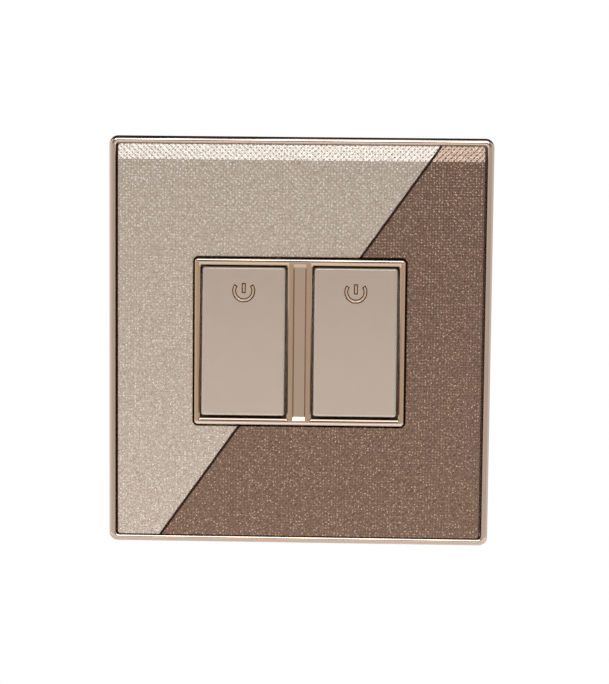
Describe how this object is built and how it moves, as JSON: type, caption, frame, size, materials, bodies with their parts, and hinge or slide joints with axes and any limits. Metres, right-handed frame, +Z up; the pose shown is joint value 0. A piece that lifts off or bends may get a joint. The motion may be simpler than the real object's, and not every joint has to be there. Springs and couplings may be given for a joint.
{
  "type": "two-gang light switch",
  "caption": "Wall switch plate with tilting rocker keys in a plated bezel, a panel split by a diagonal seam, and sprung contact levers and wire terminals behind.",
  "frame": {"origin": "middle of the wall plane, midway between the fixing slots", "axes": "+Z up the wall, +Y into the wall, so the front faces -Y and +X is to its right"},
  "size_m": [0.086, 0.0312, 0.0918],
  "materials": {
    "rose_plating": "polished rose-gold electroplate over ABS",
    "champagne_inlay": "champagne metallic film with a fine twill emboss",
    "bronze_inlay": "bronze metallic film with a fine twill emboss",
    "champagne_key": "satin champagne paint",
    "dark_moulding": "dark moulded ABS",
    "ivory_moulding": "ivory moulded polycarbonate",
    "nylon": "natural nylon",
    "brass": "pressed brass",
    "silver": "silver contact alloy",
    "spring_steel": "drawn steel wire",
    "zinc_steel": "zinc-plated steel"
  },
  "bodies": {
    "base": {"trim_frame": "rose_plating", "cover_plate": "dark_moulding", "inlay_light": "champagne_inlay", "inlay_dark": "bronze_inlay", "bezel": "rose_plating", "mounting_frame": "ivory_moulding", "housing": "ivory_moulding", "terminal_screws": "zinc_steel", "common_terminal_left": "brass", "load_terminal_left": "brass", "fixed_contact_left": "silver", "common_terminal_right": "brass", "load_terminal_right": "brass", "fixed_contact_right": "silver"},
    "rocker_left": {"rocker_left": "champagne_key", "rocker_cradle_left": "nylon", "plunger_spring_left": "spring_steel"},
    "plunger_left": {"plunger_left": "nylon"},
    "contact_left": {"contact_lever_left": "brass", "moving_contact_left": "silver"},
    "rocker_right": {"rocker_right": "champagne_key", "rocker_cradle_right": "nylon", "plunger_spring_right": "spring_steel"},
    "plunger_right": {"plunger_right": "nylon"},
    "contact_right": {"contact_lever_right": "brass", "moving_contact_right": "silver"}
  },
  "joints": [
    {"name": "rocker_tilt_left", "type": "hinge", "parent": "base", "child": "rocker_left", "pos_m": [-0.01255, -0.0056, 0], "axis": [1, 0, 0], "range_deg": [0, 8]},
    {"name": "plunger_slide_left", "type": "slide", "parent": "rocker_left", "child": "plunger_left", "axis": [0, -0.9976, 0.0698], "range_m": [0, 0.0012], "stiffness_N_per_m": 600, "springref_m": -0.0015, "deforming": ["plunger_spring_left"]},
    {"name": "contact_flip_left", "type": "hinge", "parent": "base", "child": "contact_left", "pos_m": [-0.01255, 0.007, 0], "axis": [-1, 0, 0], "range_deg": [0, 14]},
    {"name": "rocker_tilt_right", "type": "hinge", "parent": "base", "child": "rocker_right", "pos_m": [0.01255, -0.0056, 0], "axis": [1, 0, 0], "range_deg": [0, 8]},
    {"name": "plunger_slide_right", "type": "slide", "parent": "rocker_right", "child": "plunger_right", "axis": [0, -0.9976, 0.0698], "range_m": [0, 0.0012], "stiffness_N_per_m": 600, "springref_m": -0.0015, "deforming": ["plunger_spring_right"]},
    {"name": "contact_flip_right", "type": "hinge", "parent": "base", "child": "contact_right", "pos_m": [0.01255, 0.007, 0], "axis": [-1, 0, 0], "range_deg": [0, 14]}
  ],
  "couplings": [
    {"joint": "contact_flip_left", "follows": "rocker_tilt_left", "ratio": 1.75},
    {"joint": "contact_flip_right", "follows": "rocker_tilt_right", "ratio": 1.75}
  ]
}
